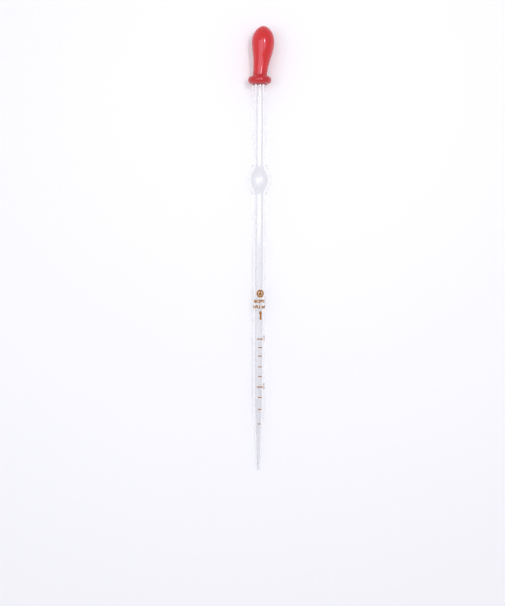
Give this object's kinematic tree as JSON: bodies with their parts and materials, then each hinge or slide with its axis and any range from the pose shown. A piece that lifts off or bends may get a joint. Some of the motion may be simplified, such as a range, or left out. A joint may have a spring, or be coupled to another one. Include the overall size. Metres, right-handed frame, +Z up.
{
  "type": "graduated dropping pipette",
  "caption": "Slim glass dropping pipette with a drawn tip, printed scale, blown safety bulb and a squeezable rubber teat, lying on its side.",
  "frame": {"origin": "bottom centre of the bounding box, on the surface that the pipette lies on", "axes": "+X along the pipette, from the tip to the teat, rising 1.4 degrees because the safety bulb holds that end up; +Z up from the surface; +Y to the left, seen from above with the teat at the top"},
  "size_m": [0.25, 0.015, 0.0151],
  "materials": {
    "clear_glass": "polished",
    "red_rubber": "satin",
    "amber_enamel": "satin"
  },
  "bodies": {
    "glass": {"glass_pipette": "clear_glass", "graduation_line_1.0": "amber_enamel", "graduation_line_0.9": "amber_enamel", "graduation_line_0.8": "amber_enamel", "graduation_line_0.7": "amber_enamel", "graduation_line_0.6": "amber_enamel", "graduation_line_0.5": "amber_enamel", "graduation_line_0.4": "amber_enamel", "graduation_line_0.3": "amber_enamel", "graduation_line_0.2": "amber_enamel", "scale_numeral_1.0": "amber_enamel", "scale_numeral_0.5": "amber_enamel", "capacity_numeral": "amber_enamel", "print_row_upper": "amber_enamel", "print_row_lower": "amber_enamel", "emblem_hexagon": "amber_enamel", "emblem_dot": "amber_enamel"},
    "teat": {"rubber_teat": "red_rubber"},
    "squeeze_left": {"squeeze_panel_left": "red_rubber"},
    "squeeze_right": {"squeeze_panel_right": "red_rubber"}
  },
  "joints": [
    {"name": "teat_pull_off", "type": "slide", "parent": "glass", "child": "teat", "axis": [0.9997, 0, 0.0239], "range_m": [0, 0.008]},
    {"name": "squeeze_left", "type": "slide", "parent": "teat", "child": "squeeze_left", "axis": [0, -1, 0], "range_m": [0, 0.0025], "stiffness_N_per_m": 800},
    {"name": "squeeze_right", "type": "slide", "parent": "teat", "child": "squeeze_right", "axis": [0, 1, 0], "range_m": [0, 0.0025], "stiffness_N_per_m": 800}
  ],
  "couplings": [
    {"joint": "squeeze_right", "follows": "squeeze_left", "ratio": 1}
  ]
}
